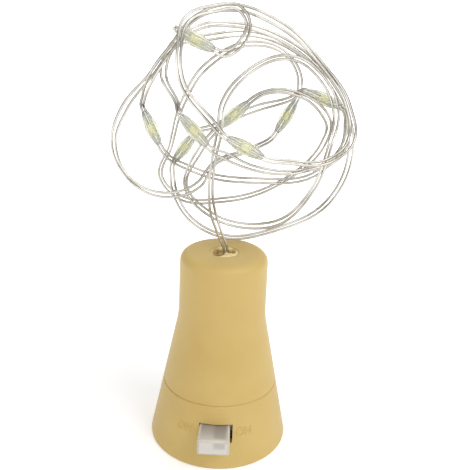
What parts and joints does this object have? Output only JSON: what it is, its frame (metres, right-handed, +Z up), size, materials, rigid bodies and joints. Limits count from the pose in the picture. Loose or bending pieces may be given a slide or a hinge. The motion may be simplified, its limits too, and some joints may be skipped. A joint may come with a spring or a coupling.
{
  "type": "solar bottle lamp",
  "caption": "Cork-shaped bottle stopper with a solar face, a battery and a slide switch, and a stiff two-strand fairy-light wire with cast light beads rising from its tip in loose loops.",
  "frame": {"origin": "centre of the solar face that the lamp stands on", "axes": "+Z up along the stopper's axis towards the wire outlet, -Y towards the switch, +X to the right as seen from the switch's side"},
  "size_m": [0.0509, 0.0341, 0.0956],
  "materials": {
    "cork_plastic": "satin ochre moulding",
    "knob_plastic": "translucent white",
    "solar_resin": "clear resin over dark cells",
    "silicon": "dark blue solar cell",
    "board": "green circuit board",
    "black_plastic": "black moulding",
    "lacquer": "lacquered coil",
    "cell": "plated can",
    "sleeve": "shrink sleeve",
    "nickel": "nickel-plated strip",
    "red_vinyl": "vinyl insulation",
    "black_vinyl": "vinyl insulation",
    "glue": "hot-melt glue",
    "silver_wire": "silver-coloured enamelled wire",
    "epoxy": "clear epoxy drop",
    "phosphor": "yellow phosphor"
  },
  "bodies": {
    "housing": {"base_shell": "cork_plastic", "stopper_shell": "cork_plastic", "solar_window": "solar_resin", "solar_board": "board", "solar_strip_1": "silicon", "solar_strip_2": "silicon", "solar_strip_3": "silicon", "solar_strip_4": "silicon", "circuit_board": "board", "controller_chip": "black_plastic", "inductor": "lacquer", "battery_cell": "cell", "battery_sleeve": "sleeve", "battery_tab_negative": "nickel", "battery_tab_positive": "nickel", "switch_frame": "nickel", "switch_base": "black_plastic", "solar_lead_red": "red_vinyl", "solar_lead_black": "black_vinyl", "battery_lead_red": "red_vinyl", "lamp_lead_red": "red_vinyl", "lamp_lead_black": "black_vinyl", "wire_seal": "glue", "conductor_a": "silver_wire", "conductor_b": "silver_wire", "led_bead_1": "epoxy", "led_bead_2": "epoxy", "led_bead_3": "epoxy", "led_bead_4": "epoxy", "led_bead_5": "epoxy", "led_bead_6": "epoxy", "led_bead_7": "epoxy", "led_bead_8": "epoxy", "led_chip_1": "phosphor", "led_chip_2": "phosphor", "led_chip_3": "phosphor", "led_chip_4": "phosphor", "led_chip_5": "phosphor", "led_chip_6": "phosphor", "led_chip_7": "phosphor", "led_chip_8": "phosphor"},
    "switch_slider": {"switch_knob": "knob_plastic", "switch_lever": "black_plastic"}
  },
  "joints": [
    {"name": "switch_slide", "type": "slide", "parent": "housing", "child": "switch_slider", "axis": [1, 0, 0], "range_m": [0, 0.0005]}
  ]
}
